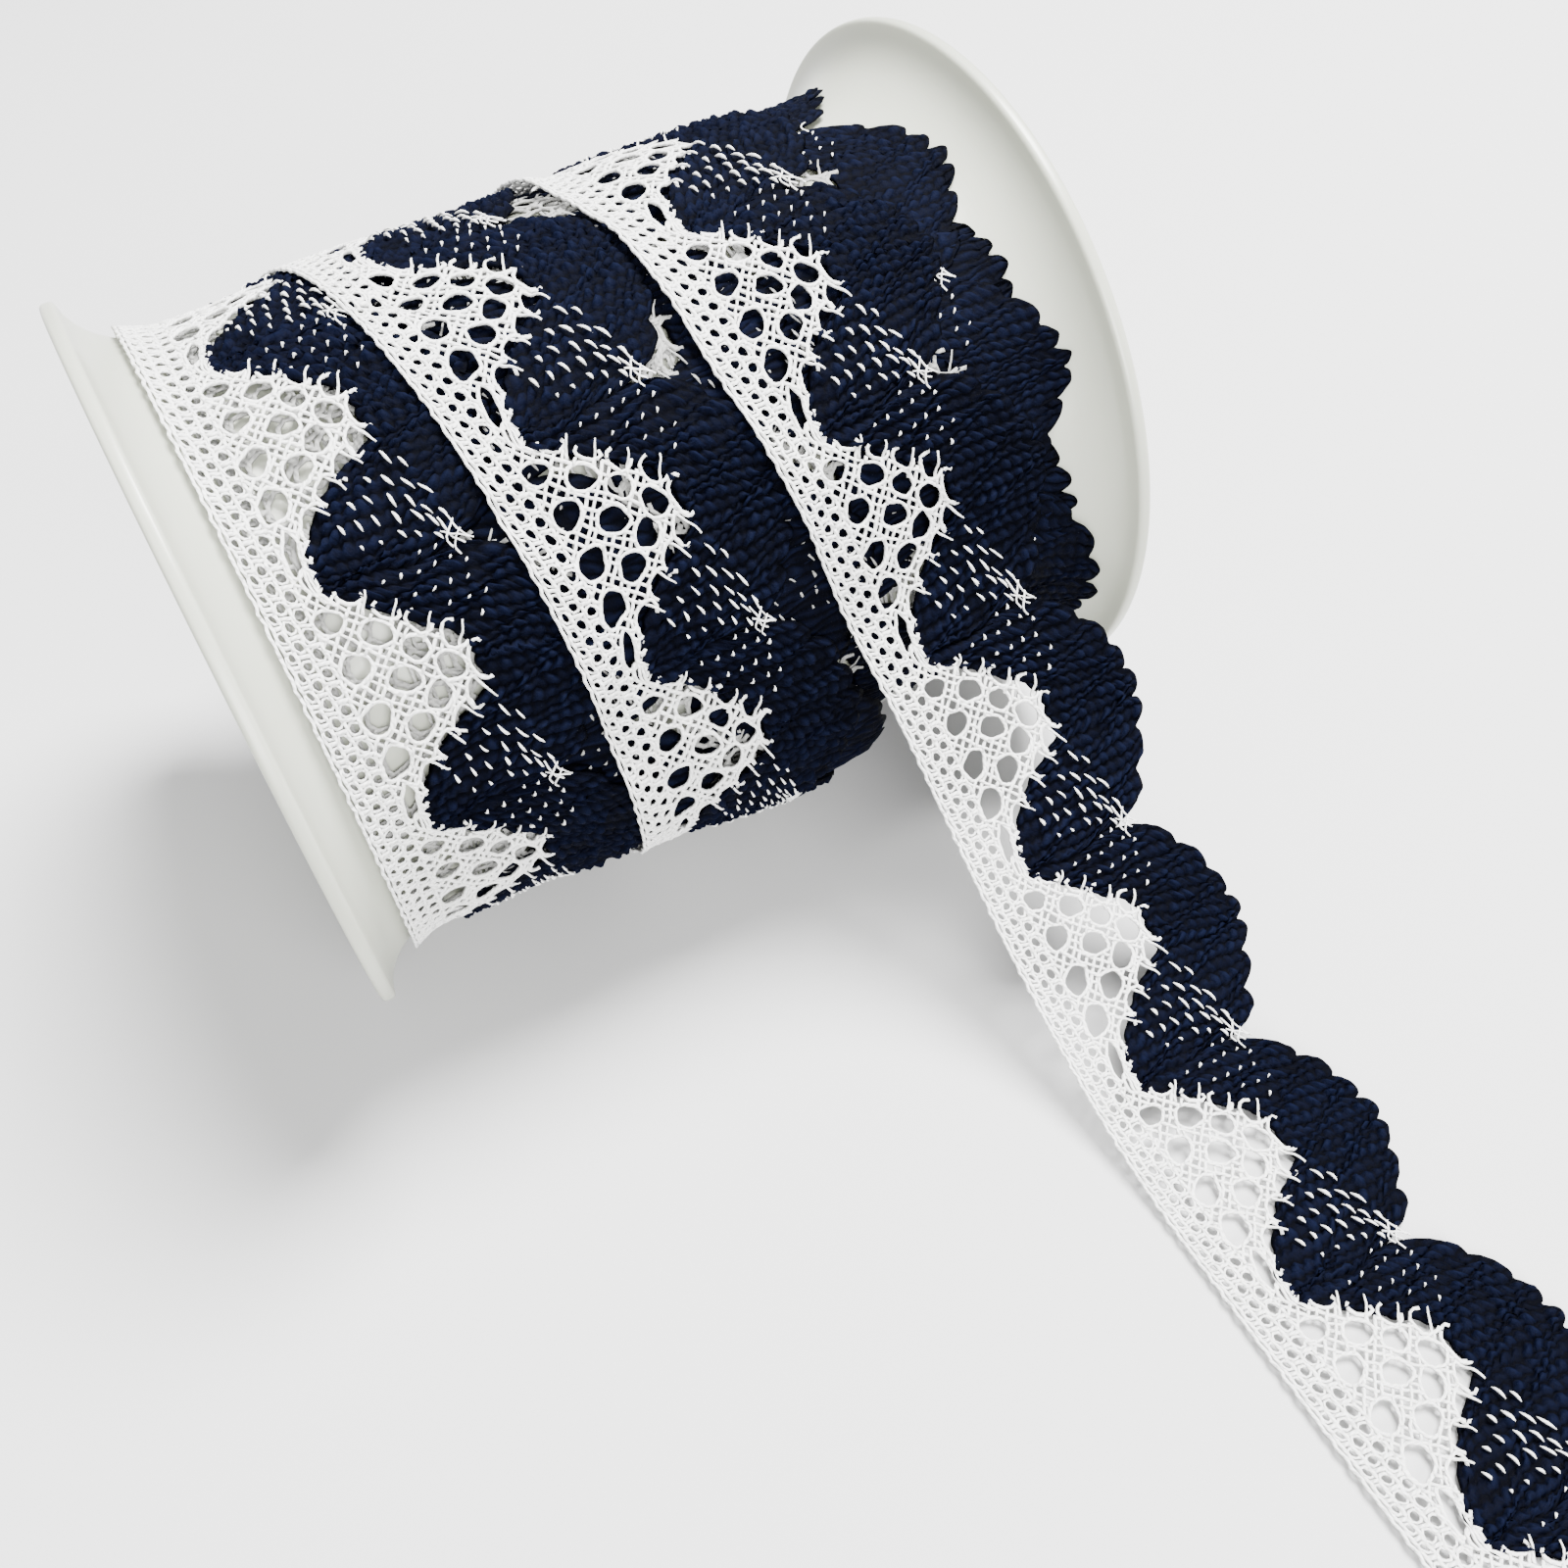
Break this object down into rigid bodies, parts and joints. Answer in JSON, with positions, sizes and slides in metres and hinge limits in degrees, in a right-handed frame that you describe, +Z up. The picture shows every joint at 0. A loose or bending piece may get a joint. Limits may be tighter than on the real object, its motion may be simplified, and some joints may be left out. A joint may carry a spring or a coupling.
{
  "type": "roll of crochet lace trim on a flanged reel",
  "caption": "Scalloped two-colour lace trim wound on a flared plastic reel, its loose end run out flat on the table.",
  "frame": {"origin": "centre of the base of the bounding box, on the table", "axes": "+Z up, +X along the reel's axis towards the scalloped side, -Y the way the loose end runs out"},
  "size_m": [0.0864, 0.176, 0.0739],
  "materials": {
    "milky_plastic": "milky white moulded plastic, soft gloss",
    "wound_lace": "matt cotton lace, white net ground and closely worked navy scallops",
    "loose_lace": "matt cotton lace, white net ground and closely worked navy scallops"
  },
  "bodies": {
    "root": {"spool": "milky_plastic", "lace_roll": "wound_lace", "loose_end": "loose_lace"}
  },
  "joints": []
}
